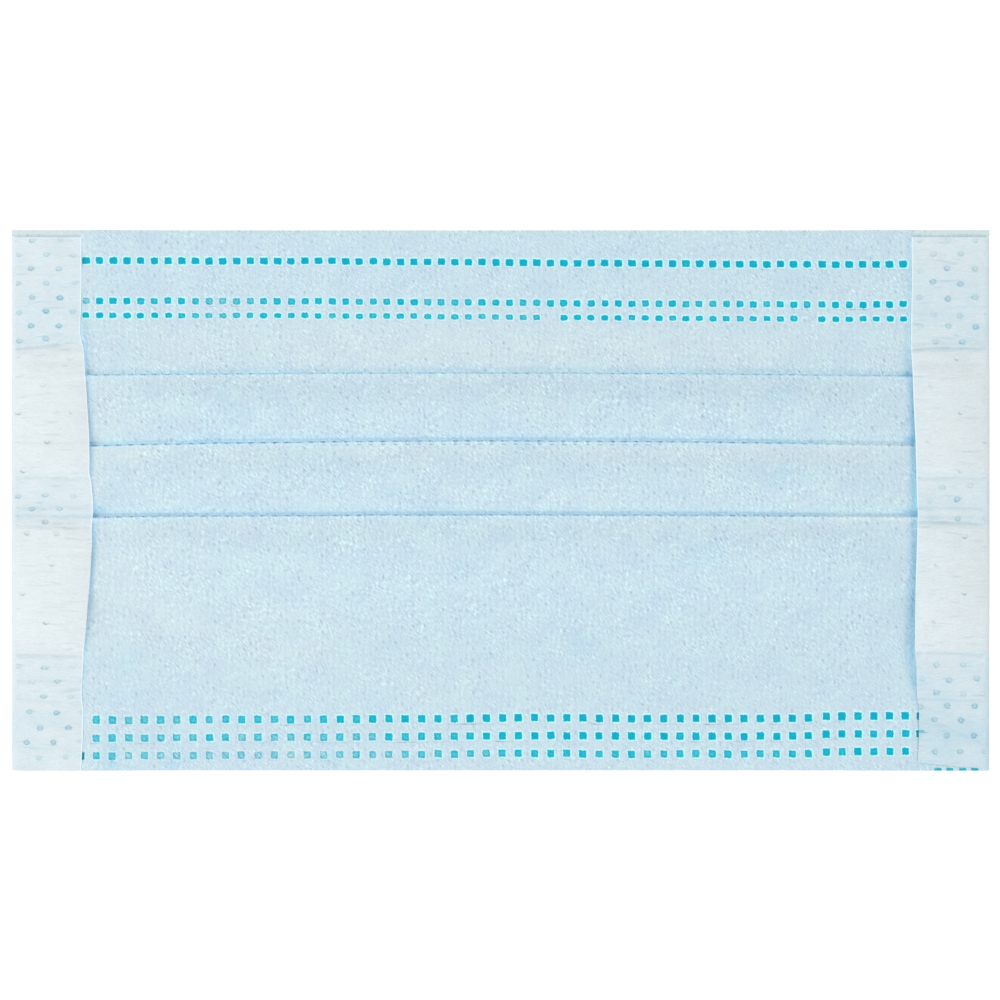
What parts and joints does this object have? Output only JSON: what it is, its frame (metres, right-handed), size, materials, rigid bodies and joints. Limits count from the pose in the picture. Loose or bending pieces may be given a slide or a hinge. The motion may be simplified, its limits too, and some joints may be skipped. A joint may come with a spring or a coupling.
{
  "type": "medical face mask",
  "caption": "Pleated disposable medical face mask, lying flat: light blue nonwoven panel with knife pleats and welded edges, bound at both ends by folded white strips.",
  "frame": {"origin": "on the surface that the mask lies on, under the middle of its outline", "axes": "+X across the mask from its left side band to its right, +Y from the chin edge to the nose edge, +Z out of the outer face"},
  "size_m": [0.175, 0.0966, 0.0051],
  "materials": {
    "panel_cloth": "light blue spunbond nonwoven laminate, soft matt, with ultrasonic weld marks",
    "band_cloth": "thin white spunbond nonwoven strip, matt, with embossed bond dots"
  },
  "bodies": {
    "root": {"pleated_panel": "panel_cloth", "side_band_left": "band_cloth", "side_band_right": "band_cloth"}
  },
  "joints": []
}
